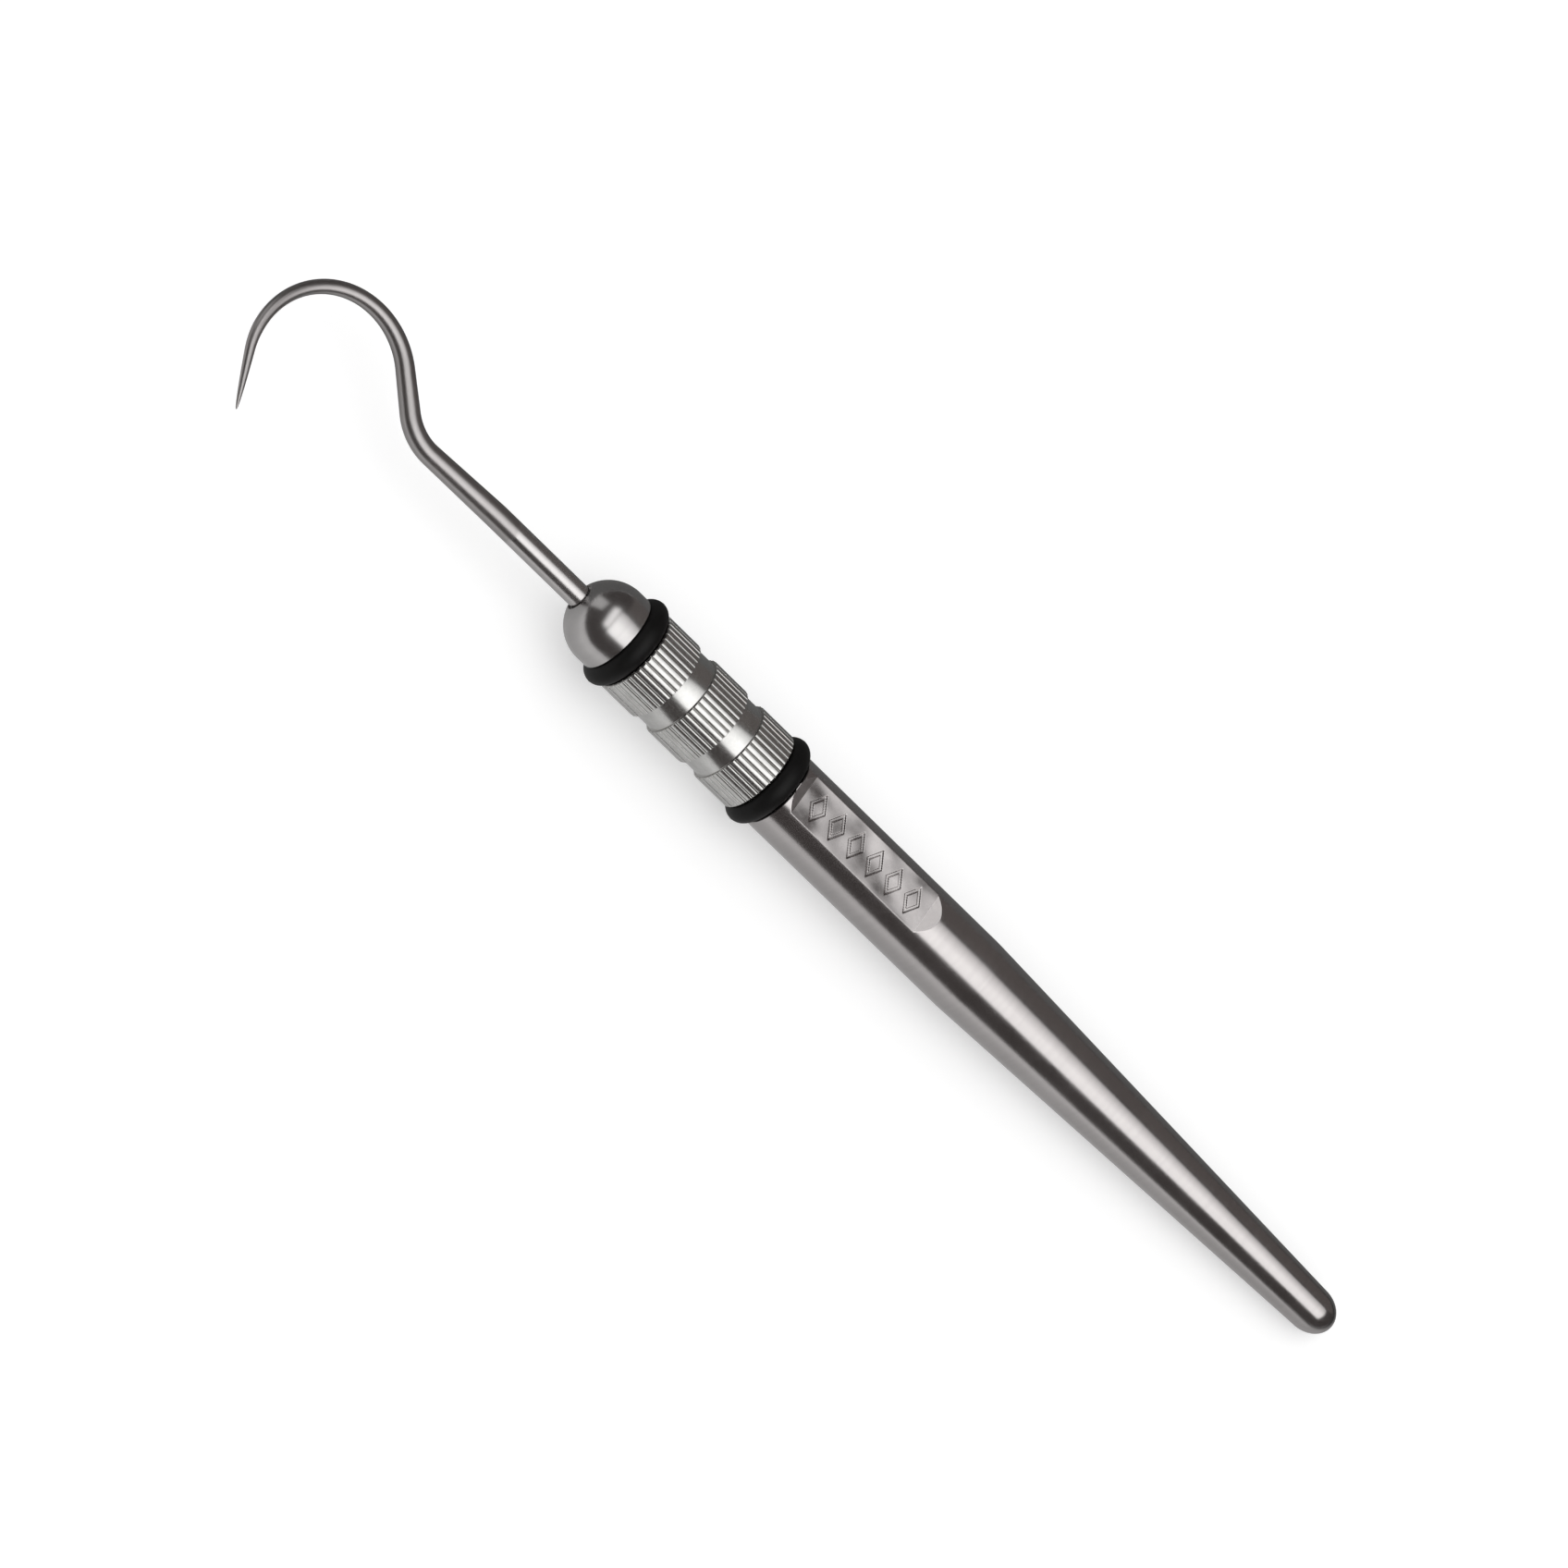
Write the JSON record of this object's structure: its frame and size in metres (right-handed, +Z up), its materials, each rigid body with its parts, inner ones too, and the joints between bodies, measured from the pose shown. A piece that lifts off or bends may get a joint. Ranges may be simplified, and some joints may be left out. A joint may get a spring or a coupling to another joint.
{
  "type": "hand scaler",
  "caption": "Slim steel hand tool with a fine pointed shepherd's hook on a knurled, O-ringed head that spins endlessly on ball bearings in front of a tapered handle.",
  "frame": {"origin": "on the surface the tool lies on, under the middle of the whole tool seen from above; the tool's axis is 5.35 mm above it", "axes": "+X along the tool's axis towards the tail, hook at -X; +Z up, out of the milled flat; the hook lies parallel to the XY plane with its point towards -Y"},
  "size_m": [0.1574, 0.0188, 0.0107],
  "materials": {
    "satin_steel": "satin, fine turning lines round the handle",
    "satin_nose_steel": "satin, soft brushed",
    "polished_wire_steel": "polished, fine grinding lines along the taper",
    "bright_aluminium": "bright machined",
    "black_rubber": "smooth, semi-matt",
    "turned_steel": "fine turned",
    "bearing_steel": "ground",
    "ball_steel": "mirror polished",
    "cage_brass": "satin",
    "spacer_brass": "fine turned",
    "shield_steel": "pressed, satin",
    "spring_steel": "blued grey, satin",
    "dark_screw_steel": "blackened"
  },
  "bodies": {
    "handle_body": {"handle": "satin_steel", "spindle": "turned_steel", "rear_inner_race": "bearing_steel", "inner_spacer": "spacer_brass", "front_inner_race": "bearing_steel", "retaining_washer": "turned_steel", "retaining_screw": "dark_screw_steel"},
    "spinning_head": {"knurled_barrel": "bright_aluminium", "nose_ball": "satin_nose_steel", "hook_wire": "polished_wire_steel", "hook_grub_screw": "dark_screw_steel", "front_o_ring": "black_rubber", "rear_o_ring": "black_rubber", "rear_outer_race": "bearing_steel", "outer_spacer": "spacer_brass", "front_outer_race": "bearing_steel", "rear_bearing_shields": "shield_steel", "front_bearing_shields": "shield_steel", "wave_washer": "spring_steel"},
    "rear_ball_set": {"rear_balls": "ball_steel", "rear_cage": "cage_brass"},
    "front_ball_set": {"front_balls": "ball_steel", "front_cage": "cage_brass"}
  },
  "joints": [
    {"name": "head_spin", "type": "hinge", "parent": "handle_body", "child": "spinning_head", "pos_m": [-0.01459, 0.00165, 0.00535], "axis": [1, 0, 0], "continuous": true},
    {"name": "rear_ball_orbit", "type": "hinge", "parent": "handle_body", "child": "rear_ball_set", "pos_m": [-0.01024, 0.00165, 0.00535], "axis": [1, 0, 0], "continuous": true},
    {"name": "front_ball_orbit", "type": "hinge", "parent": "handle_body", "child": "front_ball_set", "pos_m": [-0.02014, 0.00165, 0.00535], "axis": [1, 0, 0], "continuous": true}
  ],
  "couplings": [
    {"joint": "rear_ball_orbit", "follows": "head_spin", "ratio": 0.6111},
    {"joint": "front_ball_orbit", "follows": "head_spin", "ratio": 0.6111}
  ]
}
